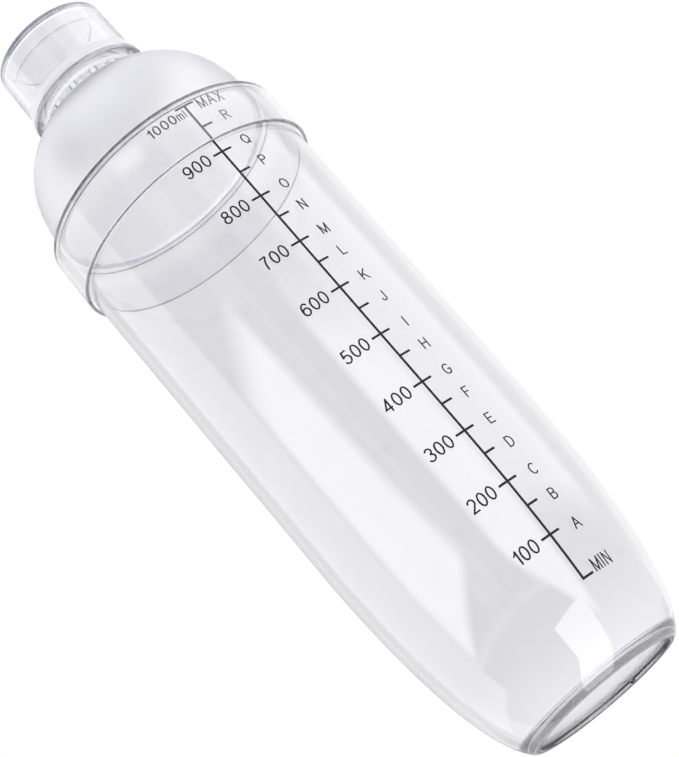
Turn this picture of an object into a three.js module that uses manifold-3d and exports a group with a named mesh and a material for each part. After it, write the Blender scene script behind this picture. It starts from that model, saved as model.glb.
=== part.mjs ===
// Clear plastic cocktail shaker with a measuring scale: cup, strainer top and cap, each one moulding.
// Millimetres, +Z up, origin at the centre of the flat that the cup stands on.
import * as THREE from 'three';
import { mergeVertices } from 'three/addons/utils/BufferGeometryUtils.js';
import Module from 'manifold-3d';

// Cup: a bullet-shaped beaker on a low foot ring with a hollow under it
const footRadius = 26.3; // outer edge of the flat the cup stands on
const toeRadius = 1.7; // rounding between that flat and the bowl
const recessRadius = 24.8; // hollow under the base
const recessDepth = 1.5;
const recessFillet = 0.5;
const floorThickness = 1.4;
const floorFillet = 1.5; // inside corner between floor and wall
const cupWall = 2;
const waistRadius = 41.9; // where the bowl has filled out to the nearly straight wall
const waistHeight = 80;
const bowlStartLean = 44.5; // degrees from upright where the bowl leaves the toe
const bowlStartPull = 18.3; // how far the bowl runs on along that lean
const bowlEndPull = 12; // how far it runs on along the straight wall
const rimRadius = 42.9; // outside of the rim, after the wall's draft
const rimHeight = 216.1;
const gateRadius = 0.9; // pip left by the moulding gate in the hollow of the base
const gateAngle = 132; // degrees round from the front
const gateHeight = 1;

// Fits: how far the pieces stay apart where they push together
const pushClearance = 0.25;
const seatClearance = 0.3;

// Strainer top: collar, dome, neck and strainer plate in one moulding
const collarDepth = 18.3; // from the collar's top face down over the cup
const collarWall = 1.15;
const collarDraft = 0.28; // how much wider the collar is at its open end
const collarEdge = 0.4;
const ledgeThickness = 1.2;
const ledgeRounding = 1; // inside, where the dome's wall meets the underside of the ledge
const domeFootRadius = 40;
const domeTopRadius = 20.4;
const domeHeight = 37.1;
const domeWall = 2;
const domeStartLean = 3; // degrees from upright at the ledge
const domeStartPull = 9.1;
const domeEndLean = 27; // degrees from level where the dome meets the neck
const domeEndPull = 23.9;
const neckRootRadius = 18.5;
const neckTopRadius = 17.75;
const neckHeight = 22.1;
const neckWall = 1.9;
const neckRootFillet = 0.8;
const strainerRise = 1.5; // underside of the plate above the dome's top edge
const strainerThickness = 2.2;
const slotCount = 12;
const slotWidth = 3.2;
const slotLength = 5;
const slotLand = 0.8; // plate left between a slot and the wall of the neck
const slotTurn = -5; // degrees that the ring of slots is turned by
const holeCount = 6;
const holeRadius = 1.6;
const holeCircleRadius = 6;

// Cap: a short tumbler with a flared lip, pushed over the neck
const lipRise = 4.25; // lip above the dome's top edge
const capHeight = 24.75;
const capTopThickness = 1.7;
const capTopRadius = 20.4;
const capSkirtRadius = 20.7;
const capEdge = 0.9;
const capInnerFillet = 1.2;
const lipRadius = 21.9;
const lipFlareHeight = 5;
const lipFaceHeight = 1.4; // upright stretch of the lip's edge

// Fineness of the round shapes
const turnSteps = 48;
const sweepSteps = 10; // along a long curve
const filletSteps = 3; // along a small rounding
const halvings = 30; // when looking for a height on a curve
const edgeRounding = 0.5; // on thin open rims

const clearPlastic = new THREE.MeshStandardMaterial({
  color: 0xe9ecef, roughness: 0.06, metalness: 0, transparent: true, opacity: 0.35,
});
const frostedPlastic = new THREE.MeshStandardMaterial({
  color: 0xe4e6ea, roughness: 0.45, metalness: 0, transparent: true, opacity: 0.6,
});

const radians = THREE.MathUtils.degToRad;
const point = (radius, height) => new THREE.Vector2(radius, height);

// Points of a rounding about a centre, between two directions in degrees
function rounding(radius, height, size, from, to) {
  const points = [];
  for (let i = 0; i <= filletSteps; i += 1) {
    const turn = radians(from + (to - from) * i / filletSteps);
    points.push(point(radius + size * Math.cos(turn), height + size * Math.sin(turn)));
  }
  return points;
}

// Point of a curve, moved sideways by a wall's thickness
function besideCurve(curve, share, inset) {
  const along = curve.getTangent(share);
  return curve.getPoint(share).add(point(-along.y, along.x).multiplyScalar(inset));
}

// Points of a long curve, or of its inner side, from a share of its length to its end
function sweep(curve, inset = 0, from = 0) {
  const points = [];
  for (let i = 0; i <= sweepSteps; i += 1) {
    points.push(besideCurve(curve, from + (1 - from) * i / sweepSteps, inset));
  }
  return points;
}

// How far along a rising curve its inner side reaches a height, found by halving
function shareAtHeight(curve, inset, height) {
  let low = 0;
  let high = 1;
  for (let i = 0; i < halvings; i += 1) {
    const middle = (low + high) / 2;
    if (besideCurve(curve, middle, inset).y < height) low = middle;
    else high = middle;
  }
  return low;
}

// Solid of revolution about Z from a profile of radius and height that starts and ends on the axis or is a loop
function turned(profile) {
  return new THREE.LatheGeometry(profile, turnSteps).rotateX(Math.PI / 2);
}

const wasm = await Module();
wasm.setup();

// Closed solid for cutting and joining, without the flattened triangles at the ends of the axis
function toSolid(geometry) {
  const bare = geometry.clone();
  bare.deleteAttribute('normal');
  bare.deleteAttribute('uv');
  const merged = mergeVertices(bare, 1e-4);
  const corners = merged.index.array;
  const triangles = [];
  for (let i = 0; i < corners.length; i += 3) {
    const [a, b, c] = corners.slice(i, i + 3);
    if (a !== b && b !== c && c !== a) triangles.push(a, b, c);
  }
  return new wasm.Manifold(new wasm.Mesh({
    numProp: 3,
    vertProperties: new Float32Array(merged.attributes.position.array),
    triVerts: new Uint32Array(triangles),
  }));
}

function toGeometry(solid) {
  const mesh = solid.getMesh();
  const geometry = new THREE.BufferGeometry();
  geometry.setAttribute('position', new THREE.BufferAttribute(mesh.vertProperties, 3));
  geometry.setIndex(new THREE.BufferAttribute(mesh.triVerts, 1));
  return geometry;
}

// Heights that the pieces share
const ledgeUnder = rimHeight + seatClearance;
const collarTop = ledgeUnder + ledgeThickness;
const collarBottom = collarTop - collarDepth;
const domeTop = collarTop + domeHeight;
const neckTop = domeTop + neckHeight;
const lipBottom = domeTop + lipRise;
const capTop = lipBottom + capHeight;

// Outside radius of the tapered neck at a height, also the taper of the cap's bore
function neckRadiusAt(height) {
  return THREE.MathUtils.mapLinear(height, domeTop, neckTop, neckRootRadius, neckTopRadius);
}

function cupGeometry() {
  const toe = rounding(footRadius, toeRadius, toeRadius, -90, -bowlStartLean);
  const start = toe.pop();
  const waist = point(waistRadius, waistHeight);
  const draft = point(rimRadius - waistRadius, rimHeight - waistHeight).normalize();
  const lean = radians(bowlStartLean);
  const bowl = new THREE.CubicBezierCurve(
    start,
    start.clone().add(point(Math.sin(lean), Math.cos(lean)).multiplyScalar(bowlStartPull)),
    waist.clone().addScaledVector(draft, -bowlEndPull),
    waist,
  );
  const floorTop = recessDepth + floorThickness;
  const filletShare = shareAtHeight(bowl, cupWall, floorTop + floorFillet);
  const filletStart = besideCurve(bowl, filletShare, cupWall);
  const wallLean = bowl.getTangent(filletShare);
  const corner = filletStart.clone().addScaledVector(wallLean, -floorFillet / wallLean.y);
  const filletEnd = point(corner.x - filletStart.distanceTo(corner), floorTop);
  const floorBlend = new THREE.QuadraticBezierCurve(filletStart, corner, filletEnd);
  return turned([
    point(0, recessDepth),
    ...rounding(recessRadius - recessFillet, recessDepth - recessFillet, recessFillet, 90, 0),
    point(recessRadius, 0),
    ...toe,
    ...sweep(bowl),
    ...rounding(rimRadius - edgeRounding, rimHeight - edgeRounding, edgeRounding, 0, 90),
    ...rounding(rimRadius - cupWall + edgeRounding, rimHeight - edgeRounding, edgeRounding, 90, 180),
    ...sweep(bowl, cupWall, filletShare).reverse(),
    ...floorBlend.getPoints(filletSteps * 2).slice(1),
    point(0, floorTop),
  ]);
}

// The gate pip sits on the wall of the hollow, fused to the base
function gatePip() {
  const ball = new THREE.SphereGeometry(gateRadius, 10, 6);
  const turn = radians(gateAngle);
  const reach = recessRadius - gateRadius / 2;
  return ball.translate(Math.sin(turn) * reach, -Math.cos(turn) * reach, gateHeight);
}

function makeCup() {
  const solid = toSolid(cupGeometry()).add(toSolid(gatePip()));
  const cup = new THREE.Mesh(toGeometry(solid), clearPlastic);
  cup.name = 'cup';
  return cup;
}

// The dome's curve from the ledge to its top edge
function domeCurve() {
  const startLean = radians(domeStartLean);
  const endLean = radians(domeEndLean);
  const foot = point(domeFootRadius, collarTop);
  const crown = point(domeTopRadius, domeTop);
  return new THREE.CubicBezierCurve(
    foot,
    foot.clone().add(point(-Math.sin(startLean), Math.cos(startLean)).multiplyScalar(domeStartPull)),
    crown.clone().add(point(Math.cos(endLean), -Math.sin(endLean)).multiplyScalar(domeEndPull)),
    crown,
  );
}

const plateBottom = domeTop + strainerRise;
const plateTop = plateBottom + strainerThickness;
const throatTop = point(neckRadiusAt(plateBottom) - neckWall, plateBottom);

// Inner edge of the flat where dome and neck meet, on the straight throat between dome and plate
function seamEdge() {
  const throatFoot = besideCurve(domeCurve(), 1, domeWall);
  const radius = THREE.MathUtils.mapLinear(domeTop, throatFoot.y, throatTop.y, throatFoot.x, throatTop.x);
  return point(radius, domeTop);
}

function domeGeometry() {
  const dome = domeCurve();
  const collarInner = rimRadius + pushClearance;
  const collarOuter = collarInner + collarWall;
  return turned([
    seamEdge(),
    ...sweep(dome, domeWall).reverse().slice(0, -1),
    ...rounding(domeFootRadius - domeWall + ledgeRounding, ledgeUnder + ledgeRounding, ledgeRounding, 180, 270),
    point(collarInner, ledgeUnder),
    point(collarInner + collarDraft, collarBottom),
    ...rounding(collarOuter + collarDraft - collarEdge, collarBottom + collarEdge, collarEdge, -90, 0),
    ...rounding(collarOuter - collarEdge, collarTop - collarEdge, collarEdge, 0, 90),
    ...sweep(dome),
    seamEdge(),
  ]);
}

function makeDome() {
  const dome = new THREE.Mesh(toGeometry(toSolid(domeGeometry())), frostedPlastic);
  dome.name = 'dome_collar';
  return dome;
}

function neckGeometry() {
  const boreTopRadius = neckTopRadius - neckWall;
  const neckFoot = neckRootRadius + neckRootFillet;
  return turned([
    point(0, plateBottom),
    throatTop,
    seamEdge(),
    ...rounding(neckFoot, domeTop + neckRootFillet, neckRootFillet, -90, -180),
    ...rounding(neckTopRadius - edgeRounding, neckTop - edgeRounding, edgeRounding, 0, 90),
    ...rounding(boreTopRadius + edgeRounding, neckTop - edgeRounding, edgeRounding, 90, 180),
    point(neckRadiusAt(plateTop) - neckWall, plateTop),
    point(0, plateTop),
  ]);
}

// A cutter that passes right through the strainer plate
function plateCutter(outline) {
  const depth = strainerThickness * 2;
  const middle = (plateBottom + plateTop) / 2;
  return new THREE.ExtrudeGeometry(outline, { depth, bevelEnabled: false, curveSegments: filletSteps })
    .translate(0, 0, middle - depth / 2);
}

// Round-ended slot that runs along a radius of the plate
function slotOutline() {
  const outer = neckRadiusAt(plateTop) - neckWall - slotLand;
  const half = slotWidth / 2;
  const outline = new THREE.Shape();
  outline.absarc(outer - half, 0, half, -Math.PI / 2, Math.PI / 2, false);
  outline.absarc(outer - slotLength + half, 0, half, Math.PI / 2, Math.PI * 1.5, false);
  return outline;
}

function holeOutline() {
  return new THREE.Shape().absarc(holeCircleRadius, 0, holeRadius, 0, Math.PI * 2, false);
}

function makeStrainerNeck() {
  let solid = toSolid(neckGeometry());
  const cutRing = (outline, count, start) => {
    for (let i = 0; i < count; i += 1) {
      const turn = start + i * Math.PI * 2 / count;
      solid = solid.subtract(toSolid(plateCutter(outline).rotateZ(turn)));
    }
  };
  cutRing(slotOutline(), slotCount, radians(slotTurn));
  cutRing(holeOutline(), holeCount, Math.PI / holeCount);
  const neck = new THREE.Mesh(toGeometry(solid), clearPlastic);
  neck.name = 'strainer_neck';
  return neck;
}

function capGeometry() {
  const ceiling = capTop - capTopThickness;
  const boreRadiusAt = (height) => neckRadiusAt(height) + pushClearance;
  const boreTop = boreRadiusAt(ceiling);
  const flareTop = lipBottom + lipFaceHeight + lipFlareHeight;
  const flare = new THREE.CubicBezierCurve(
    point(lipRadius, lipBottom + lipFaceHeight),
    point(lipRadius, lipBottom + lipFaceHeight + lipFlareHeight / 2),
    point(capSkirtRadius, flareTop - lipFlareHeight / 2),
    point(capSkirtRadius, flareTop),
  );
  return turned([
    point(0, ceiling),
    ...rounding(boreTop - capInnerFillet, ceiling - capInnerFillet, capInnerFillet, 90, 0),
    point(boreRadiusAt(lipBottom), lipBottom),
    ...rounding(lipRadius - edgeRounding, lipBottom + edgeRounding, edgeRounding, -90, 0),
    ...flare.getPoints(filletSteps * 2),
    ...rounding(capTopRadius - capEdge, capTop - capEdge, capEdge, 0, 90),
    point(0, capTop),
  ]);
}

function makeCap() {
  const cap = new THREE.Mesh(toGeometry(toSolid(capGeometry())), clearPlastic);
  cap.name = 'cap';
  return cap;
}

// Dome and neck are one moulding, held as two meshes that meet on a flat and lift off together
const strainerTop = new THREE.Group();
strainerTop.name = 'strainer_top';
strainerTop.add(makeDome(), makeStrainerNeck());

const shaker = new THREE.Group();
shaker.name = 'cocktail_shaker';
shaker.add(makeCup(), strainerTop, makeCap());

export default shaker;
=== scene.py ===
import math

import bmesh
import bpy
from mathutils import Matrix, Vector, geometry


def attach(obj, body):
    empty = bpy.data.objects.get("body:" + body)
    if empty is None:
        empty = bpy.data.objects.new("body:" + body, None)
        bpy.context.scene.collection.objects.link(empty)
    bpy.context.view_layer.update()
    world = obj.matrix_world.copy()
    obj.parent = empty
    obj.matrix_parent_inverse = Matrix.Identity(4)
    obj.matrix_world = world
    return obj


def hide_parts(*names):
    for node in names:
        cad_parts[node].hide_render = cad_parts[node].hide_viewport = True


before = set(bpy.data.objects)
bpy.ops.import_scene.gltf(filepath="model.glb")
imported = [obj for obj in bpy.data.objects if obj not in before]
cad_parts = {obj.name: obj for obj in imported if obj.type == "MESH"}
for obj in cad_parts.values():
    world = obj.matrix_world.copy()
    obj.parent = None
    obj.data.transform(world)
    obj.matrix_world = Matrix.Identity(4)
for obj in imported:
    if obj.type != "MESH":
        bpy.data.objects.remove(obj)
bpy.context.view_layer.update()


# Cup: a bullet-shaped beaker on a low foot ring, with a hollow under its base.
# Clear plastic, injection-moulded in one piece, so the wall is even and every edge is softly rounded.
# The gate of the mould has left a pip on the wall of the hollow.
mm = 0.001
foot_radius = 26.3 * mm
toe_radius = 1.7 * mm
recess_radius = 24.8 * mm
recess_depth = 1.5 * mm
recess_fillet = 0.5 * mm
floor_top = 2.9 * mm
floor_fillet = 1.5 * mm
cup_wall = 2 * mm
waist_radius = 41.9 * mm
waist_height = 80 * mm
bowl_lean = math.radians(44.5)
bowl_start_pull = 18.3 * mm
bowl_end_pull = 12 * mm
rim_radius = 42.9 * mm
rim_height = 216.1 * mm
edge_rounding = 0.5 * mm
foot_edge_rounding = 0.25 * mm
gate_radius = 0.9 * mm
gate_turn = math.radians(132)
gate_height = 1 * mm
turn_steps = 192
long_curve_points = 40
short_curve_points = 8
satin_roughness = 0.35
ceiling_satin = 0.4
shade_fade = 0.2 * mm
pip_margin = 0.05 * mm
pip_fineness = 3
blend_pull = 2 / 3
rounding_pieces = 4
sharp_corner = math.radians(40)
near = 0.01 * mm
same_point = 0.001 * mm


def rounding(radius, height, size, start, end):
    """Points of a rounding in the profile, about a centre and between two directions in degrees."""
    points = []
    for i in range(short_curve_points):
        turn = math.radians(start + (end - start) * i / (short_curve_points - 1))
        points.append(Vector((radius + size * math.cos(turn), height + size * math.sin(turn))))
    return points


def inner_side(points, wall):
    """A run of profile points moved sideways by a wall's thickness."""
    moved = []
    for i, here in enumerate(points):
        along = points[min(i + 1, len(points) - 1)] - points[max(i - 1, 0)]
        moved.append(here + Vector((-along.y, along.x)).normalized() * wall)
    return moved


def turned(profile):
    """Closed shell of revolution from profile points that start and end on the axis."""
    shell = bmesh.new()
    chain = [shell.verts.new((radius, 0, height)) for radius, height in profile]
    for lower, upper in zip(chain, chain[1:]):
        shell.edges.new((lower, upper))
    bmesh.ops.spin(shell, geom=shell.verts[:] + shell.edges[:], cent=(0, 0, 0), axis=(0, 0, 1),
                   angle=math.tau, steps=turn_steps, use_merge=True)
    bmesh.ops.remove_doubles(shell, verts=shell.verts, dist=same_point)
    bmesh.ops.recalc_face_normals(shell, faces=shell.faces)
    return shell


def round_ring(shell, radius, height, size):
    """Rounds the edge that runs round a shell at one radius and height."""
    def on_ring(vert):
        return abs(vert.co.xy.length - radius) < near and abs(vert.co.z - height) < near
    ring = [edge for edge in shell.edges if all(on_ring(vert) for vert in edge.verts)]
    bmesh.ops.bevel(shell, geom=ring, offset=size, segments=rounding_pieces, profile=0.5,
                    affect="EDGES", material=-1)


def to_piece(shell, name):
    """Makes an object of a finished shell and puts it in the scene."""
    mesh = bpy.data.meshes.new(name)
    shell.to_mesh(mesh)
    shell.free()
    piece = bpy.data.objects.new(name, mesh)
    bpy.context.scene.collection.objects.link(piece)
    return piece


def cut_with(piece, tool_shell, operation):
    """Joins another shell to a piece or cuts it out of it, for good."""
    tool = to_piece(tool_shell, piece.name + "_tool")
    step = piece.modifiers.new("cut", "BOOLEAN")
    step.operation = operation
    step.solver = "EXACT"
    step.object = tool
    shape = piece.evaluated_get(bpy.context.evaluated_depsgraph_get())
    piece.data = bpy.data.meshes.new_from_object(shape)
    piece.modifiers.clear()
    bpy.data.objects.remove(tool)


def smooth(piece):
    """Smooth shading that stays flat on flats and breaks only at sharp corners."""
    piece.data.shade_smooth()
    piece.data.set_sharp_from_angle(angle=sharp_corner)
    weights = piece.modifiers.new("even_flats", "WEIGHTED_NORMAL")
    weights.keep_sharp = True


toe = rounding(foot_radius, toe_radius, toe_radius, -90, -math.degrees(bowl_lean))
waist = Vector((waist_radius, waist_height))
wall_run = Vector((rim_radius - waist_radius, rim_height - waist_height)).normalized()
bowl_run = Vector((math.sin(bowl_lean), math.cos(bowl_lean)))
bowl = geometry.interpolate_bezier(
    toe[-1], toe[-1] + bowl_run * bowl_start_pull, waist - wall_run * bowl_end_pull, waist, long_curve_points)
bowl_inside = [p for p in inner_side(bowl, cup_wall) if p.y > floor_top + floor_fillet]
blend_start, blend_next = bowl_inside[:2]
blend_run = (blend_next - blend_start).normalized()
blend_corner = blend_start - blend_run * (blend_start.y - floor_top) / blend_run.y
blend_end = Vector((blend_corner.x - (blend_start - blend_corner).length, floor_top))
floor_blend = geometry.interpolate_bezier(
    blend_start, blend_start.lerp(blend_corner, blend_pull),
    blend_end.lerp(blend_corner, blend_pull), blend_end, short_curve_points * 2)
cup_shell = turned(
    [(0, recess_depth), (recess_radius - recess_fillet - shade_fade, recess_depth)]
    + rounding(recess_radius - recess_fillet, recess_depth - recess_fillet, recess_fillet, 90, 0)
    + [(recess_radius, 0)] + toe + bowl[1:]
    + [(rim_radius, rim_height), (rim_radius - cup_wall, rim_height)]
    + bowl_inside[::-1] + floor_blend[1:]
    + [(0, floor_top)])
round_ring(cup_shell, recess_radius, 0, foot_edge_rounding)
round_ring(cup_shell, rim_radius, rim_height, edge_rounding)
round_ring(cup_shell, rim_radius - cup_wall, rim_height, edge_rounding)
cup = to_piece(cup_shell, "clear_cup")

pip_reach = recess_radius - gate_radius / 2
pip_place = Vector((math.sin(gate_turn) * pip_reach, -math.cos(gate_turn) * pip_reach, gate_height))
pip = bmesh.new()
bmesh.ops.create_icosphere(pip, subdivisions=pip_fineness, radius=gate_radius,
                           matrix=Matrix.Translation(pip_place))
cut_with(cup, pip, "UNION")
smooth(cup)


class Strand:
    """One value on its way through a finish. Sums and products of it become Math nodes."""

    def __init__(self, tree, socket):
        self.tree = tree
        self.socket = socket

    @classmethod
    def node(cls, tree, kind, settings=None, inputs=None, output=0):
        """Any other node: its settings first, then the values or links of its sockets."""
        node = tree.nodes.new(kind)
        for name, value in (settings or {}).items():
            setattr(node, name, value)
        for name, value in (inputs or {}).items():
            if isinstance(value, cls):
                tree.links.new(value.socket, node.inputs[name])
            else:
                node.inputs[name].default_value = value
        return cls(tree, node.outputs[output]) if node.outputs else None

    def maths(self, operation, first, second):
        return Strand.node(self.tree, "ShaderNodeMath", {"operation": operation}, {0: first, 1: second})

    def __add__(self, other):
        return self.maths("ADD", self, other)

    def __radd__(self, other):
        return self.maths("ADD", other, self)

    def __sub__(self, other):
        return self.maths("SUBTRACT", self, other)

    def __rsub__(self, other):
        return self.maths("SUBTRACT", other, self)

    def __mul__(self, other):
        return self.maths("MULTIPLY", self, other)

    def __rmul__(self, other):
        return self.maths("MULTIPLY", other, self)


def new_finish(name):
    """An empty material and its node tree."""
    material = bpy.data.materials.new(name)
    material.use_nodes = True
    material.node_tree.nodes.clear()
    return material, material.node_tree


def noise(tree, place, mottling):
    """Even mottling between 0 and 1, from its spots per metre and its layers of finer spots."""
    spots, layers = mottling
    return Strand.node(tree, "ShaderNodeTexNoise", {}, {"Vector": place, "Scale": spots, "Detail": layers})


def rising(tree, value, low, high):
    """0 below the low value, 1 above the high one, and smooth between them."""
    return Strand.node(tree, "ShaderNodeMapRange", {"interpolation_type": "SMOOTHSTEP"},
                       {"Value": value, "From Min": low, "From Max": high})


def tinted(tree, share, first, second):
    """A colour between two, by a share."""
    return Strand.node(tree, "ShaderNodeMix", {"data_type": "RGBA"}, {0: share, 6: first, 7: second}, 2)


def blended(tree, share, first, second):
    """A surface between two, by a share."""
    return Strand.node(tree, "ShaderNodeMixShader", {}, {0: share, 1: first, 2: second})


def own_place(tree):
    """Where a point lies on its own piece."""
    return Strand.node(tree, "ShaderNodeTexCoord", output="Object")


def height_in(tree, place):
    """The upright part of a place or of a direction."""
    return Strand.node(tree, "ShaderNodeSeparateXYZ", {}, {0: place}, "Z")


def from_behind(tree):
    """1 where a surface is seen from its back, and else 0."""
    return Strand.node(tree, "ShaderNodeNewGeometry", output="Backfacing")


def note_points(piece, name, rule):
    """Notes a number on each point of a piece, by a rule for the spot where it lies."""
    notes = piece.data.attributes.new(name, "FLOAT", "POINT")
    for vert, note in zip(piece.data.vertices, notes.data):
        note.value = rule(vert.co)


def noted(tree, name):
    """The number that is noted on the points of a piece under a name."""
    return Strand.node(tree, "ShaderNodeAttribute", {"attribute_name": name}, output="Fac")


plastic_bend = 1.57
cup_pale = (0.884, 0.881, 0.898, 1)
cup_cool = (0.856, 0.853, 0.872, 1)
# Painted light: the paler colour the cup's plastic takes below and above the grey run, near the foot and the
# rim.
cup_painted_light = (0.97, 0.969, 0.978, 1)
grey_run = (0, 32 * mm, 205 * mm, 215 * mm)
plastic_tint = (0.0, 0.0, 0.2, 1)
clear_density = 7
# Colour of the painted shade along thick edges.
painted_edge_shade = (0.012, 0.012, 0.016, 1)
polished_roughness = 0.012
handled_roughness = 0.03
handling_marks = (90, 4)
mould_waves = (55, 1)
mould_wave_depth = 0.012 * mm


def with_painted_shade(tree, colour):
    """A colour with painted shade: it turns dark along thick edges, where the points note shade and the
    surface is seen from outside.
    """
    return tinted(tree, noted(tree, "shade") * (1 - from_behind(tree)), colour, painted_edge_shade)


def close_finish(tree, surface, density):
    """Ends a plastic finish: its surface, and the grey that light picks up inside the plastic."""
    inside = Strand.node(tree, "ShaderNodeVolumeAbsorption", {}, {
        "Color": plastic_tint, "Density": density})
    Strand.node(tree, "ShaderNodeOutputMaterial", {}, {"Surface": surface, "Volume": inside})


def clear_finish(name, pale, cool, run=None):
    """Polished clear plastic: faint handling marks in the gloss and slow waves left by the mould.

    With a run of four heights, its grey fades in over the first two and out over the last two; outside the
    run the colour is painted lighter.
    """
    material, tree = new_finish(name)
    place = own_place(tree)
    marks = noise(tree, place, handling_marks)
    colour = tinted(tree, marks, pale, cool)
    if run:
        height = height_in(tree, place)
        grey = rising(tree, height, run[0], run[1]) * (1 - rising(tree, height, run[2], run[3]))
        # Painted light: below and above the grey run, the colour turns paler.
        colour = tinted(tree, grey, cup_painted_light, colour)
    bump = Strand.node(tree, "ShaderNodeBump", {}, {
        "Strength": 1, "Distance": mould_wave_depth, "Height": noise(tree, place, mould_waves)})
    surface = Strand.node(tree, "ShaderNodeBsdfPrincipled", {}, {
        "Base Color": with_painted_shade(tree, colour),
        "Roughness": polished_roughness + handled_roughness * marks + satin_roughness * noted(tree, "satin"),
        "IOR": plastic_bend, "Transmission Weight": 1, "Normal": bump})
    close_finish(tree, surface, clear_density)
    return material


# Strengths of the painted shade on the hollow and the foot, and on the gate pip.
recess_shade = 0.75
pip_shade = 0.9


def cup_painted_shade(spot):
    """Painted shade on the wall of the hollow and its rounding, on the face of the foot, and on the pip."""
    if (spot - pip_place).length < gate_radius + pip_margin:
        return pip_shade
    on_foot = recess_radius - recess_fillet - shade_fade / 2 < spot.xy.length < foot_radius + near
    return recess_shade if on_foot and spot.z < recess_depth + near else 0


def cup_satin(spot):
    """Satin on the face of the foot, and a little on the ceiling of the hollow."""
    if spot.z < near:
        return 1
    return ceiling_satin if spot.xy.length < recess_radius and spot.z < recess_depth + near else 0


note_points(cup, "shade", cup_painted_shade)
note_points(cup, "satin", cup_satin)
cup.data.materials.clear()
cup.data.materials.append(clear_finish("clear_plastic", cup_pale, cup_cool, grey_run))
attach(cup, "cup")
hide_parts("cup")


# Measuring scale: a stem with crossbars, a number at each full step, and a letter at each full and half step.
# Screen-printed on the outside of the cup in one matt black ink, from the lowest to the highest fill.
# The lettering is a plain upright sans, drawn here with strokes of one weight.
first_step_height = 39.8 * mm
step_rise = 19.39 * mm
step_count = 10
step_volume = 100
lowest_fill_height = 24.5 * mm
highest_fill_height = 214.7 * mm
half_step_lift = 0.7 * mm
stem_width = 0.8 * mm
bar_thickness = 0.75 * mm
step_bar_left = 3.35 * mm
step_bar_right = 3.45 * mm
half_bar_right = 3.9 * mm
number_tall = 4.6 * mm
number_end = -4.95 * mm
number_spread = 1.13
number_gap = 0.14
letter_tall = 3.8 * mm
letter_middle = 9.7 * mm
letter_spread = 1.2
letter_stretch = 0.011
letter_even_height = 127 * mm
volume_tall = 3.5 * mm
volume_spread = 1.27
unit_tall = 3.2 * mm
unit_room = 3.5 * mm
volume_end = -1.3 * mm
volume_drop = 2.2 * mm
word_tall = 4.2 * mm
highest_word_start = 4.2 * mm
highest_word_drop = 1.4 * mm
lowest_word_start = 5 * mm
lowest_word_rise = 1.5 * mm
stroke_weight = 0.125
glyph_gap = 0.2
ink_lift = 0.05 * mm
stem_pieces = 120
bar_pieces = 12
bow_pieces = 16
mitre_limit = 0.4


def radius_at(run, height):
    """Radius at a height on a run of profile points that only rises."""
    for lower, upper in zip(run, run[1:]):
        if height <= upper.y:
            return lower.x + (upper.x - lower.x) * (height - lower.y) / (upper.y - lower.y)
    return run[-1].x


cup_side = toe + bowl[1:] + [Vector((rim_radius, rim_height))]
artwork = bmesh.new()


def ink_bar(left, right, bottom, top, across, upward):
    """A printed bar on the flat artwork, cut up so that it can follow the wall."""
    place = Matrix.Translation(((left + right) / 2, 0, (bottom + top) / 2))
    size = Matrix.Diagonal(((right - left) / 2, 1, (top - bottom) / 2, 1))
    upright = Matrix.Rotation(math.pi / 2, 4, "X")
    bmesh.ops.create_grid(artwork, x_segments=across, y_segments=upward, size=1,
                          matrix=place @ size @ upright)


def ink_crossbar(left, right, height):
    """A level bar whose middle is at a height."""
    ink_bar(left, right, height - bar_thickness / 2, height + bar_thickness / 2, bar_pieces, 1)


def bow(x, y, half_width, half_height, start, end):
    """Points along an arc of an ellipse, between two directions in degrees."""
    points = []
    for i in range(bow_pieces + 1):
        turn = math.radians(start + (end - start) * i / bow_pieces)
        points.append((x + half_width * math.cos(turn), y + half_height * math.sin(turn)))
    return points


def stroke(*points):
    """Both sides of a stroke along its middle line, with square ends."""
    points = [Vector(point) for point in points]
    sides = []
    for i, here in enumerate(points):
        before = (here - points[i - 1]).normalized() if i else (points[1] - here).normalized()
        after = (points[i + 1] - here).normalized() if i < len(points) - 1 else before
        across = (before.orthogonal() + after.orthogonal()).normalized()
        half = across * stroke_weight / 2 / max(across.dot(before.orthogonal()), mitre_limit)
        sides.append((here - half, here + half))
    return sides


def post(x_low, low, x_high, high):
    """Both sides of a straight stroke that ends level at its foot and head."""
    run = Vector((x_high - x_low, high - low))
    half = Vector((stroke_weight / 2 * run.length / run.y, 0))
    reach = run * stroke_weight / 2 / run.y
    foot = Vector((x_low, low)) - reach
    head = Vector((x_high, high)) + reach
    return [(foot + half, foot - half), (head + half, head - half)]


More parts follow.
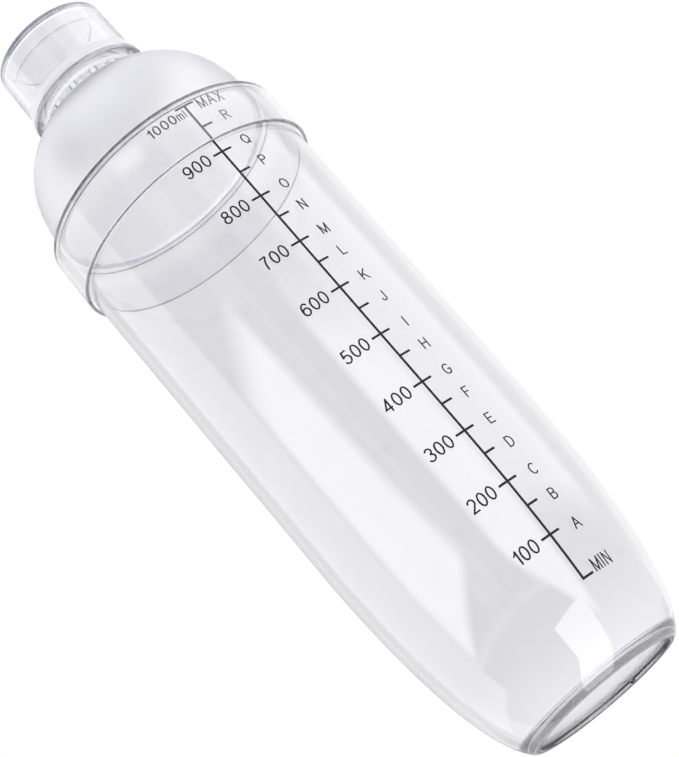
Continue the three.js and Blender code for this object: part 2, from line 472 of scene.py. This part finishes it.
# Each glyph: the width between its outer strokes, then its strokes, for a height of 1.
glyphs = {
    "0": (0.46, [stroke(*bow(0.23, 0.5, 0.23, 0.5, 0, 360))]),
    "1": (0.26, [post(0.26, 0, 0.26, 1), stroke((0.02, 0.72), (0.16, 0.82), (0.26, 1))]),
    "2": (0.46, [stroke(*bow(0.23, 0.72, 0.22, 0.28, 170, -38), (0.03, 0.03)),
                 stroke((-0.04, 0), (0.47, 0))]),
    "3": (0.46, [stroke(*bow(0.22, 0.76, 0.2, 0.24, 160, -90)),
                 stroke(*bow(0.22, 0.26, 0.24, 0.26, 90, -160))]),
    "4": (0.5, [post(0.36, 0, 0.36, 1), stroke((0.36, 1), (0, 0.27), (0.5, 0.27))]),
    "5": (0.46, [stroke((0.42, 1), (0.1, 1), (0.03, 0.5)), stroke(*bow(0.22, 0.31, 0.24, 0.32, 140, -160))]),
    "6": (0.46, [stroke(*bow(0.23, 0.31, 0.23, 0.31, 0, 360)),
                 stroke(*bow(0.25, 0.45, 0.25, 0.55, 195, 40))]),
    "7": (0.46, [stroke((0, 1), (0.46, 1)), stroke((0.44, 0.98), (0.3, 0.74), (0.2, 0.42), (0.16, -0.07))]),
    "8": (0.46, [stroke(*bow(0.23, 0.77, 0.19, 0.23, 0, 360)), stroke(*bow(0.23, 0.27, 0.23, 0.27, 0, 360))]),
    "9": (0.46, [stroke(*bow(0.23, 0.69, 0.23, 0.31, 0, 360)),
                 stroke(*bow(0.21, 0.55, 0.25, 0.55, 15, -140))]),
    "A": (0.62, [post(0, 0, 0.31, 1), post(0.62, 0, 0.31, 1), stroke((0.1, 0.34), (0.52, 0.34))]),
    "B": (0.5, [post(0, 0, 0, 1), stroke((0, 1), *bow(0.26, 0.77, 0.2, 0.23, 90, -90), (0, 0.54)),
                stroke((0.2, 0.54), *bow(0.28, 0.27, 0.22, 0.27, 90, -90), (0, 0))]),
    "C": (0.56, [stroke(*bow(0.3, 0.5, 0.3, 0.5, 42, 318))]),
    "D": (0.54, [post(0, 0, 0, 1), stroke((0, 1), *bow(0.22, 0.5, 0.32, 0.5, 90, -90), (0, 0))]),
    "E": (0.48, [post(0, 0, 0, 1), stroke((0, 1), (0.5, 1)), stroke((0, 0.53), (0.47, 0.53)),
                 stroke((0, 0), (0.52, 0))]),
    "F": (0.46, [post(0, 0, 0, 1), stroke((0, 1), (0.5, 1)), stroke((0, 0.52), (0.42, 0.52))]),
    "G": (0.6, [stroke(*bow(0.3, 0.5, 0.3, 0.5, 42, 322), (0.58, 0.46)), stroke((0.32, 0.47), (0.65, 0.47))]),
    "H": (0.52, [post(0, 0, 0, 1), post(0.52, 0, 0.52, 1), stroke((0, 0.53), (0.52, 0.53))]),
    "I": (0, [post(0, 0, 0, 1)]),
    "J": (0.36, [stroke((0.36, 1.07), *bow(0.18, 0.25, 0.18, 0.25, 0, -180), (0, 0.31))]),
    "K": (0.54, [post(0, 0, 0, 1), post(0, 0.36, 0.5, 1), post(0.53, 0, 0.2, 0.58)]),
    "L": (0.44, [post(0, 0, 0, 1), stroke((0, 0), (0.46, 0))]),
    "M": (0.64, [post(0, 0, 0, 1), post(0.32, 0, 0, 1), post(0.32, 0, 0.64, 1), post(0.64, 0, 0.64, 1)]),
    "N": (0.52, [post(0, 0, 0, 1), post(0.52, 0, 0, 1), post(0.52, 0, 0.52, 1)]),
    "O": (0.62, [stroke(*bow(0.31, 0.5, 0.31, 0.5, 0, 360))]),
    "P": (0.5, [post(0, 0, 0, 1), stroke((0, 1), *bow(0.26, 0.74, 0.24, 0.26, 90, -90), (0, 0.48))]),
    "Q": (0.62, [stroke(*bow(0.31, 0.5, 0.31, 0.5, 0, 360)), stroke((0.36, 0.22), (0.64, -0.06))]),
    "R": (0.54, [post(0, 0, 0, 1), stroke((0, 1), *bow(0.28, 0.75, 0.22, 0.25, 90, -90), (0, 0.5)),
                 post(0.54, 0, 0.28, 0.46)]),
    "X": (0.54, [post(0, 0, 0.54, 1), post(0.54, 0, 0, 1)]),
    "l": (0, [post(0, 0, 0, 1)]),
    "m": (0.62, [post(0, 0, 0, 0.68), stroke(*bow(0.155, 0.5, 0.155, 0.22, 180, 0), (0.31, -0.07)),
                 stroke(*bow(0.465, 0.5, 0.155, 0.22, 180, 0), (0.62, -0.07))]),
}


def ink_text(words, tall, x, height, lead=0, spread=1, gap=glyph_gap):
    """Printed words on the flat artwork, their middle at a height, with a share of them left of a place."""
    unit = tall / (1 + stroke_weight)
    widths = [(glyphs[letter][0] + stroke_weight) * spread for letter in words]
    here = stroke_weight * spread / 2 - lead * (sum(widths) + gap * (len(words) - 1))
    for letter, width in zip(words, widths):
        for sides in glyphs[letter][1]:
            row = []
            for pair in sides:
                places = [(x + (here + point.x * spread) * unit, 0, height + (point.y - 0.5) * unit)
                          for point in pair]
                row.append([artwork.verts.new(place) for place in places])
            for (left, right), (next_left, next_right) in zip(row, row[1:]):
                artwork.faces.new((left, right, next_right, next_left))
        here += width + gap


def ink_letter(count, height):
    """One index letter. Their row is a little longer than the row of bars beside it."""
    letter_height = height + letter_stretch * (height - letter_even_height)
    ink_text(chr(ord("A") + count), letter_tall, letter_middle, letter_height, lead=0.5, spread=letter_spread)


stem_bottom = lowest_fill_height - bar_thickness / 2
stem_top = highest_fill_height + bar_thickness / 2
ink_bar(-stem_width / 2, stem_width / 2, stem_bottom, stem_top, 1, stem_pieces)
ink_crossbar(0, half_bar_right, lowest_fill_height)
ink_text("MIN", word_tall, lowest_word_start, lowest_fill_height + lowest_word_rise)
ink_text("MAX", word_tall, highest_word_start, highest_fill_height - highest_word_drop)
ink_crossbar(-step_bar_left, step_bar_right, highest_fill_height)
for step in range(step_count - 1):
    step_height = first_step_height + step * step_rise
    step_number = str((step + 1) * step_volume)
    ink_crossbar(-step_bar_left, step_bar_right, step_height)
    ink_text(step_number, number_tall, number_end, step_height, lead=1, spread=number_spread, gap=number_gap)
    ink_letter(2 * step, step_height)
    half_step_height = step_height + step_rise / 2 + half_step_lift
    ink_crossbar(0, half_bar_right, half_step_height)
    ink_letter(2 * step + 1, half_step_height)
volume_height = highest_fill_height - volume_drop
unit_height = volume_height - (volume_tall - unit_tall) / 2
volume_number = str(step_count * step_volume)
ink_text("ml", unit_tall, volume_end, unit_height, lead=1)
ink_text(volume_number, volume_tall, volume_end - unit_room, volume_height, lead=1, spread=volume_spread)

bmesh.ops.triangulate(artwork, faces=artwork.faces)
for vert in artwork.verts:
    radius = radius_at(cup_side, vert.co.z) + ink_lift
    turn = vert.co.x / radius
    vert.co = (radius * math.sin(turn), -radius * math.cos(turn), vert.co.z)
scale = to_piece(artwork, "printed_scale")

ink_black = (0.004, 0.004, 0.005, 1)
ink_thin = (0.016, 0.016, 0.018, 1)
ink_gloss = 0.15
ink_roughness = 0.42
thin_ink_roughness = 0.2
screen_marks = (900, 3)


def ink_finish(name):
    """Matt printing ink, a little thinner in places where the screen left less."""
    material, tree = new_finish(name)
    thinness = noise(tree, own_place(tree), screen_marks)
    surface = Strand.node(tree, "ShaderNodeBsdfPrincipled", {}, {
        "Base Color": tinted(tree, thinness, ink_black, ink_thin),
        "Roughness": ink_roughness + thin_ink_roughness * thinness, "Specular IOR Level": ink_gloss})
    Strand.node(tree, "ShaderNodeOutputMaterial", {}, {"Surface": surface})
    return material


scale.data.materials.append(ink_finish("printed_ink"))
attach(scale, "cup")


# Strainer top: a collar that pushes over the cup's rim, a dome, and a neck with a slotted strainer plate.
# One clear moulding. The dome is frosted by a fine texture in the mould; the collar and neck are polished.
push_gap = 0.25 * mm
ledge_under = 216.4 * mm
collar_top = 217.6 * mm
collar_bottom = 199.3 * mm
collar_wall = 1.15 * mm
collar_draft = 0.28 * mm
collar_edge = 0.4 * mm
ledge_rounding = 2.2 * mm
dome_foot_radius = 40 * mm
dome_top_radius = 20.4 * mm
dome_top = 254.7 * mm
dome_wall = 2 * mm
dome_start_lean = math.radians(3)
dome_start_pull = 9.1 * mm
dome_end_lean = math.radians(27)
dome_end_pull = 23.9 * mm
neck_root_radius = 18.5 * mm
neck_top_radius = 17.75 * mm
neck_top = 276.8 * mm
neck_wall = 1.9 * mm
neck_root_fillet = 0.8 * mm
pouring_rounding = 1.2 * mm
plate_bottom = 256.2 * mm
plate_top = 258.4 * mm
slot_count = 12
slot_width = 3.2 * mm
slot_length = 5 * mm
slot_land = 0.8 * mm
slot_turn = math.radians(-5)
hole_count = 6
hole_radius = 1.6 * mm
hole_circle_radius = 6 * mm
opening_sides = 24
frost_edge = 0.1 * mm
frost_depth = 0.5 * mm


def neck_radius_at(height):
    """Outside radius of the tapered neck at a height, which the cap's bore follows."""
    share = (height - dome_top) / (neck_top - dome_top)
    return neck_root_radius + (neck_top_radius - neck_root_radius) * share


dome_foot = Vector((dome_foot_radius, collar_top))
dome_crown = Vector((dome_top_radius, dome_top))
dome = geometry.interpolate_bezier(
    dome_foot,
    dome_foot + Vector((-math.sin(dome_start_lean), math.cos(dome_start_lean))) * dome_start_pull,
    dome_crown + Vector((math.cos(dome_end_lean), -math.sin(dome_end_lean))) * dome_end_pull,
    dome_crown, long_curve_points)
dome_inside = inner_side(dome, dome_wall)[::-1]
collar_inner = rim_radius + push_gap
collar_outer = collar_inner + collar_wall
bore_top = neck_top_radius - neck_wall
ledge_share = (collar_top - ledge_under) / (collar_top - collar_bottom)
top_shell = turned(
    [(0, plate_bottom), (neck_radius_at(plate_bottom) - neck_wall, plate_bottom)]
    + dome_inside[:-1]
    + [(dome_foot_radius - dome_wall, ledge_under), (collar_inner, ledge_under),
       (collar_inner + collar_draft, collar_bottom + shade_fade),
       (collar_inner + collar_draft, collar_bottom), (collar_outer + collar_draft, collar_bottom),
       (collar_outer + collar_draft * ledge_share, ledge_under - shade_fade),
       (collar_outer + collar_draft * ledge_share, ledge_under), (collar_outer, collar_top)]
    + dome
    + [(neck_root_radius, dome_top), (neck_top_radius, neck_top), (bore_top, neck_top),
       (neck_radius_at(plate_top) - neck_wall, plate_top), (0, plate_top)])
round_ring(top_shell, collar_outer + collar_draft, collar_bottom, collar_edge)
round_ring(top_shell, collar_outer, collar_top, collar_edge)
round_ring(top_shell, dome_foot_radius - dome_wall, ledge_under, ledge_rounding)
round_ring(top_shell, neck_root_radius, dome_top, neck_root_fillet)
round_ring(top_shell, neck_top_radius, neck_top, edge_rounding)
round_ring(top_shell, bore_top, neck_top, pouring_rounding)
strainer_top = to_piece(top_shell, "strainer_top_moulding")

plate_cut_depth = 2 * (plate_top - plate_bottom)
plate_middle = (plate_top + plate_bottom) / 2
slot_end_radius = slot_width / 2
slot_outer = neck_radius_at(plate_top) - neck_wall - slot_land - slot_end_radius
slot_inner = slot_outer - slot_length + slot_width
openings = bmesh.new()
for i in range(slot_count):
    slot = bmesh.new()
    bmesh.ops.create_cone(slot, cap_ends=True, segments=opening_sides, depth=plate_cut_depth,
                          radius1=slot_end_radius, radius2=slot_end_radius,
                          matrix=Matrix.Translation((slot_outer, 0, plate_middle)))
    inward = [vert for vert in slot.verts if vert.co.x < slot_outer - same_point]
    bmesh.ops.translate(slot, verts=inward, vec=(slot_inner - slot_outer, 0, 0))
    slot_place = Matrix.Rotation(slot_turn + i * math.tau / slot_count, 3, "Z")
    bmesh.ops.rotate(slot, verts=slot.verts, cent=(0, 0, 0), matrix=slot_place)
    one_slot = bpy.data.meshes.new("one_slot")
    slot.to_mesh(one_slot)
    slot.free()
    openings.from_mesh(one_slot)
    bpy.data.meshes.remove(one_slot)
for i in range(hole_count):
    hole_turn = Matrix.Rotation((i + 0.5) * math.tau / hole_count, 4, "Z")
    hole_place = hole_turn @ Matrix.Translation((hole_circle_radius, 0, plate_middle))
    bmesh.ops.create_cone(openings, cap_ends=True, segments=opening_sides, depth=plate_cut_depth,
                          radius1=hole_radius, radius2=hole_radius, matrix=hole_place)
cut_with(strainer_top, openings, "DIFFERENCE")
smooth(strainer_top)

top_pale = (0.994, 0.992, 1, 1)
top_cool = (0.972, 0.97, 0.99, 1)
collar_grey = (0.955, 0.953, 0.968, 1)
# Strengths of the painted shade along the ledge and the collar's open end.
ledge_shade = 0.88
collar_foot_shade = 0.9


def top_painted_shade(spot):
    """Painted shade along the ledge and the open end of the collar."""
    if spot.xy.length > collar_outer - collar_edge - near and spot.z > ledge_under - near:
        return ledge_shade
    return collar_foot_shade if spot.z < collar_bottom + shade_fade / 2 else 0


def dome_frost(spot):
    """Frosted on the outside of the dome only."""
    on_dome = collar_top + frost_edge < spot.z < dome_top - frost_edge
    return 1 if on_dome and spot.xy.length > radius_at(dome, spot.z) - frost_depth else 0


note_points(strainer_top, "shade", top_painted_shade)
note_points(strainer_top, "frost", dome_frost)

frosted_roughness = 0.33
grain_roughness = 0.1
frost_clearness = 0.9
frost_pale = (0.99, 0.988, 1, 1)
frost_cool = (0.975, 0.973, 1, 1)
frost_grain = (2200, 2)
frost_grain_depth = 0.003 * mm
milky_clearness = 0.33
milky_start = 249 * mm
milky_full = 254.5 * mm
top_density = 2


def frosted_finish(name):
    """Clear plastic with a finely grained outside on the dome, milky at its top; the rest is polished."""
    material, tree = new_finish(name)
    place = own_place(tree)
    height = height_in(tree, place)
    marks = noise(tree, place, handling_marks)
    above_collar = rising(tree, height, ledge_under, collar_top)
    colour = tinted(tree, above_collar, collar_grey, tinted(tree, marks, top_pale, top_cool))
    polished = Strand.node(tree, "ShaderNodeBsdfPrincipled", {}, {
        "Base Color": with_painted_shade(tree, colour),
        "Roughness": polished_roughness + handled_roughness * marks,
        "IOR": plastic_bend, "Transmission Weight": 1})
    grain = noise(tree, place, frost_grain)
    bump = Strand.node(tree, "ShaderNodeBump", {}, {
        "Strength": 1, "Distance": frost_grain_depth, "Height": grain})
    frosted, milky = [Strand.node(tree, "ShaderNodeBsdfPrincipled", {}, {
        "Base Color": tinted(tree, grain, frost_pale, frost_cool),
        "Roughness": frosted_roughness + grain_roughness * grain,
        "IOR": plastic_bend, "Transmission Weight": clearness, "Normal": bump})
        for clearness in (frost_clearness, milky_clearness)]
    grained = blended(tree, rising(tree, height, milky_start, milky_full), frosted, milky)
    close_finish(tree, blended(tree, noted(tree, "frost"), polished, grained), top_density)
    return material


strainer_top.data.materials.clear()
strainer_top.data.materials.append(frosted_finish("frosted_plastic"))
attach(strainer_top, "strainer_top")
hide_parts("dome_collar", "strainer_neck")


# Cap: a short tumbler turned upside down over the neck, with a flared lip to pull it off by.
# Clear plastic, moulded in one piece with a thick flat top; its tapered bore grips the neck.
lip_bottom = 258.95 * mm
lip_radius = 21.9 * mm
lip_face_height = 1.4 * mm
lip_flare_height = 5 * mm
cap_skirt_radius = 20.7 * mm
cap_top = 283.7 * mm
cap_top_radius = 20.4 * mm
cap_ceiling = 282 * mm
cap_edge = 1.3 * mm
cap_inner_fillet = 1.2 * mm
cap_top_draft = 0.03 * mm
# Strengths of the painted shade along the cap's thick top and the lip's face.
cap_top_shade = 0.75
lip_shade = 0.7
cap_pale = (0.925, 0.924, 0.938, 1)
cap_cool = (0.895, 0.894, 0.91, 1)

flare_start = Vector((lip_radius, lip_bottom + lip_face_height))
flare_end = Vector((cap_skirt_radius, lip_bottom + lip_face_height + lip_flare_height))
flare_pull = Vector((0, lip_flare_height / 2))
flare = geometry.interpolate_bezier(
    flare_start, flare_start + flare_pull, flare_end - flare_pull, flare_end, short_curve_points * 2)
cap_bore_top = neck_radius_at(cap_ceiling) + push_gap
cap_shell = turned(
    [(0, cap_ceiling), (cap_bore_top, cap_ceiling),
     (neck_radius_at(lip_bottom) + push_gap, lip_bottom), (lip_radius, lip_bottom)]
    + flare
    + [(cap_top_radius + cap_top_draft, cap_ceiling - shade_fade),
       (cap_top_radius + cap_top_draft, cap_ceiling),
       (cap_top_radius, cap_top), (0, cap_top)])
round_ring(cap_shell, cap_bore_top, cap_ceiling, cap_inner_fillet)
round_ring(cap_shell, lip_radius, lip_bottom, edge_rounding)
round_ring(cap_shell, cap_top_radius, cap_top, cap_edge)
cap = to_piece(cap_shell, "clear_cap")
smooth(cap)


def cap_painted_shade(spot):
    """Painted shade along the thick top and the face of the lip."""
    if spot.xy.length > cap_top_radius - cap_edge - near and spot.z > cap_ceiling - near:
        return cap_top_shade
    on_lip = spot.xy.length > lip_radius - edge_rounding - near
    return lip_shade if on_lip and spot.z < flare_start.y + near else 0


note_points(cap, "shade", cap_painted_shade)
cap.data.materials.append(clear_finish("clear_plastic_cap", cap_pale, cap_cool))
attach(cap, "cap")
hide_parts("cap")


# Floor: a plain matt pale ground, with an opening under the cup's foot, and seen through from below.
# It pales with distance, so that no horizon shows, and the gloss of the shaker doesn't show it.
floor_radius = 40.0
floor_drop = 0.1 * mm
floor_segments = 128
floor_pale = (0.69, 0.69, 0.697, 1)
floor_paler = (0.71, 0.71, 0.717, 1)
floor_far = (0.84, 0.84, 0.845, 1)
fade_start = 0.5
fade_end = 5.0
floor_mottle = (3, 3)
floor_roughness = 0.9
ground = bmesh.new()
for radius in (foot_radius, floor_radius):
    bmesh.ops.create_circle(ground, segments=floor_segments, radius=radius,
                            matrix=Matrix.Translation((0, 0, -floor_drop)))
bmesh.ops.bridge_loops(ground, edges=ground.edges)
bmesh.ops.recalc_face_normals(ground, faces=ground.faces)
if next(iter(ground.faces)).normal.z < 0:
    bmesh.ops.reverse_faces(ground, faces=ground.faces)
table = to_piece(ground, "pale_floor")
table_finish, tree = new_finish("pale_floor")
floor_place = own_place(tree)
floor_near = tinted(tree, noise(tree, floor_place, floor_mottle), floor_pale, floor_paler)
distance = Strand.node(tree, "ShaderNodeVectorMath", {"operation": "LENGTH"}, {0: floor_place}, "Value")
top_side = Strand.node(tree, "ShaderNodeBsdfPrincipled", {}, {
    "Base Color": tinted(tree, rising(tree, distance, fade_start, fade_end), floor_near, floor_far),
    "Roughness": floor_roughness, "Specular IOR Level": 0})
under_side = Strand.node(tree, "ShaderNodeBsdfTransparent")
floor_surface = blended(tree, from_behind(tree), top_side, under_side)
Strand.node(tree, "ShaderNodeOutputMaterial", {}, {"Surface": floor_surface})
table.data.materials.append(table_finish)
table.visible_glossy = False


# Light: a white tent all round, with a brighter and cooler roof. Dark cards and soft boxes stand in
# front of it, and only the gloss of the shaker shows them, as streaks.
white = (1, 1, 1, 1)
tent_high = 1.02
tent_low = 0.9
tent_change = (-0.2, -0.05)
roof_more = 0.4
roof_cool = (0.95, 0.945, 1, 1)
roof_change = (0.5, 0.8)
light_bounces = 64
clear_layers = 32
tent = bpy.data.worlds.new("white_tent")
bpy.context.scene.world = tent
tent.use_nodes = True
tree = tent.node_tree
tree.nodes.clear()
tent_rise = height_in(tree, Strand.node(tree, "ShaderNodeTexCoord", output="Generated"))
upper = rising(tree, tent_rise, *tent_change)
roof = rising(tree, tent_rise, *roof_change)
glow = Strand.node(tree, "ShaderNodeBackground", {}, {
    "Color": tinted(tree, roof, white, roof_cool),
    "Strength": tent_low + (tent_high - tent_low) * upper + roof_more * roof})
Strand.node(tree, "ShaderNodeOutputWorld", {}, {"Surface": glow})

card_middle = Vector((0, 0, 110 * mm))
camera_turn = math.radians(-26.6)
card_pieces = 30
hard_edge = 0.001


def card(name, corners, reach, strength, soft_sides=hard_edge, soft_ends=hard_edge):
    """A curved card seen only in gloss, with shares of it that fade at its sides and ends.

    Its corners, from the top left one round to the bottom left one, are turns from the camera and rises,
    both in degrees.
    """
    sheet = bmesh.new()
    bmesh.ops.create_grid(sheet, x_segments=card_pieces, y_segments=card_pieces, size=0.5)
    covers = []
    for vert in sheet.verts:
        across = vert.co.x + 0.5
        down = vert.co.y + 0.5
        top = Vector(corners[0]).lerp(Vector(corners[1]), across)
        foot = Vector(corners[3]).lerp(Vector(corners[2]), across)
        turn, rise = top.lerp(foot, down)
        around = camera_turn + math.radians(turn)
        level = math.cos(math.radians(rise))
        away = Vector((math.sin(around) * level, -math.cos(around) * level, math.sin(math.radians(rise))))
        vert.co = card_middle + away * reach
        side = min(1, min(across, 1 - across) / soft_sides)
        end = min(1, min(down, 1 - down) / soft_ends)
        covers.append(side * end)
    piece = to_piece(sheet, name)
    cover = piece.data.attributes.new("cover", "FLOAT", "POINT")
    cover.data.foreach_set("value", covers)
    finish, tree = new_finish(name)
    light = Strand.node(tree, "ShaderNodeEmission", {}, {"Color": white, "Strength": strength})
    beyond = Strand.node(tree, "ShaderNodeBsdfTransparent")
    surface = blended(tree, noted(tree, "cover"), beyond, light)
    Strand.node(tree, "ShaderNodeOutputMaterial", {}, {"Surface": surface})
    piece.data.materials.append(finish)
    piece.visible_camera = False
    piece.visible_diffuse = False
    piece.visible_transmission = False
    piece.visible_volume_scatter = False
    piece.visible_shadow = False


card("dark_card", [(-76, 60), (18, 60), (18, -10), (-76, -10)], 2.4, 0, 0.06)
card("dark_card_low", [(-105, -10), (38, -10), (38, -66), (-105, -66)], 2.4, 0)
card("middle_card", [(-30, 60), (-5, 60), (-5, -12), (-30, -12)], 2.2, 0.5, 0.1, 0.1)
card("collar_window", [(-29, 30.7), (5, 30.7), (5, 29.8), (-29, 29.8)], 2.1, 1.9, 0.2, 0.25)
card("left_wall", [(-126, 50), (-74, 50), (-74, -20), (-126, -20)], 2.3, 1.7, 0.02, 0.02)
card("left_edge_card", [(-179, 31), (-126, 31), (-126, -30), (-179, -30)], 2.3, 0.6, 0.1, 0.1)
card("left_soft_box", [(-74, 19.8), (-24, 23.5), (-8, 0), (-77, -13)], 1.2, 4.1, 0.16, 0.08)
card("right_soft_box", [(8, 22), (53, 22), (53, -30), (8, -4)], 1.2, 4.1, 0.16, 0.12)
card("right_wall", [(40, 50), (118, 50), (118, 0), (40, 0)], 2.0, 2.7, 0.14, 0.1)
card("low_window", [(3, -23), (43, -18), (46, -42), (3, -42)], 1.0, 4.0, 0.03, 0.03)
card("low_window_foot", [(3, -41), (46, -41), (49, -64), (-20, -64)], 1.0, 4.0, 0.03, 0.03)
card("low_window_toe", [(-20, -63), (49, -63), (70, -86), (-45, -86)], 1.0, 4.0, 0.03, 0.03)
bpy.context.scene.view_settings.view_transform = "Standard"
bpy.context.scene.cycles.max_bounces = light_bounces
bpy.context.scene.cycles.transmission_bounces = light_bounces
bpy.context.scene.cycles.glossy_bounces = light_bounces
bpy.context.scene.cycles.transparent_max_bounces = clear_layers


# Camera: below the base and looking up along the shaker, rolled so that the shaker leans to the left.
camera_reach = 615.0 * mm
camera_height = -77.25 * mm
camera_pitch = math.radians(18.431)
camera_yaw = math.radians(0.116)
camera_roll = math.radians(40.66)
camera_sensor = 36
camera_lens = 98.71
camera_nearest = 10 * mm
camera = bpy.data.objects.new("camera", bpy.data.cameras.new("camera"))
bpy.context.scene.collection.objects.link(camera)
bpy.context.scene.camera = camera
camera.data.sensor_width = camera_sensor
camera.data.lens = camera_lens
camera.data.clip_start = camera_nearest
camera_place = Matrix.Translation((
    camera_reach * math.sin(camera_turn), -camera_reach * math.cos(camera_turn), camera_height))
camera_aim = (Matrix.Rotation(camera_turn - camera_yaw, 4, "Z")
              @ Matrix.Rotation(math.pi / 2 + camera_pitch, 4, "X")
              @ Matrix.Rotation(-camera_roll, 4, "Z"))
camera.matrix_world = camera_place @ camera_aim
